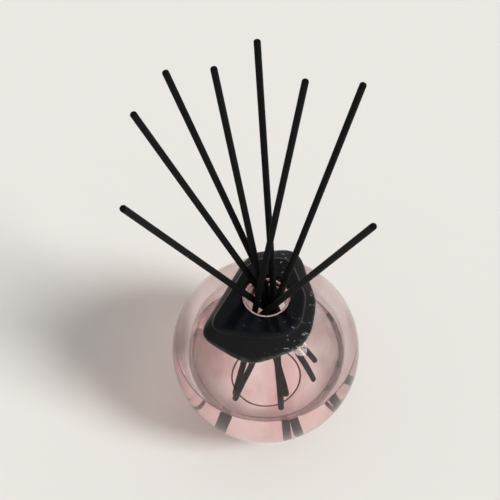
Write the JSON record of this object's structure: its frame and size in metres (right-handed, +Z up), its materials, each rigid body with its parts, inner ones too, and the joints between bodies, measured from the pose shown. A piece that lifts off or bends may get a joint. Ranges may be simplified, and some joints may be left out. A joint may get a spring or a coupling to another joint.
{
  "type": "reed diffuser",
  "caption": "Room scent diffuser: a ball-shaped tinted glass bottle of oil with a loose polished stone slab round its neck and fibre reeds fanned out of it.",
  "frame": {"origin": "centre of the bottle's ground foot, on the surface it rests on", "axes": "+Z up along the axis of the bottle and its neck; +X to the right and +Y away as seen from the front; the reeds fan mostly towards +Y"},
  "size_m": [0.1162, 0.1026, 0.2567],
  "materials": {
    "tinted_glass": "clear pink tinted glass, fire polished",
    "oil": "clear liquid with a faint pink tint",
    "black_stone": "polished black stone with pale mineral flecks",
    "black_reed": "matt black dyed fibre"
  },
  "bodies": {
    "bottle": {"glass_vessel": "tinted_glass", "fragrance_oil": "oil"},
    "collar": {"stone_collar": "black_stone"},
    "reed_1": {"reed_1": "black_reed"},
    "reed_2": {"reed_2": "black_reed"},
    "reed_3": {"reed_3": "black_reed"},
    "reed_4": {"reed_4": "black_reed"},
    "reed_5": {"reed_5": "black_reed"},
    "reed_6": {"reed_6": "black_reed"},
    "reed_7": {"reed_7": "black_reed"},
    "reed_8": {"reed_8": "black_reed"}
  },
  "joints": [
    {"name": "collar_swivel", "type": "hinge", "parent": "bottle", "child": "collar", "pos_m": [0, 0, 0.1], "axis": [0, 0, 1], "continuous": true},
    {"name": "reed_1_draw", "type": "slide", "parent": "bottle", "child": "reed_1", "axis": [-0.3505, -0.25, 0.9026], "range_m": [0, 0.15]},
    {"name": "reed_2_draw", "type": "slide", "parent": "bottle", "child": "reed_2", "axis": [-0.358, 0.0156, 0.9336], "range_m": [0, 0.15]},
    {"name": "reed_3_draw", "type": "slide", "parent": "bottle", "child": "reed_3", "axis": [-0.2961, 0.1541, 0.9426], "range_m": [0, 0.15]},
    {"name": "reed_4_draw", "type": "slide", "parent": "bottle", "child": "reed_4", "axis": [-0.1469, 0.1814, 0.9724], "range_m": [0, 0.15]},
    {"name": "reed_5_draw", "type": "slide", "parent": "bottle", "child": "reed_5", "axis": [-0.0558, 0.287, 0.9563], "range_m": [0, 0.15]},
    {"name": "reed_6_draw", "type": "slide", "parent": "bottle", "child": "reed_6", "axis": [0.1347, 0.147, 0.9799], "range_m": [0, 0.15]},
    {"name": "reed_7_draw", "type": "slide", "parent": "bottle", "child": "reed_7", "axis": [0.241, 0.1656, 0.9563], "range_m": [0, 0.15]},
    {"name": "reed_8_draw", "type": "slide", "parent": "bottle", "child": "reed_8", "axis": [0.2787, -0.2739, 0.9205], "range_m": [0, 0.15]}
  ]
}
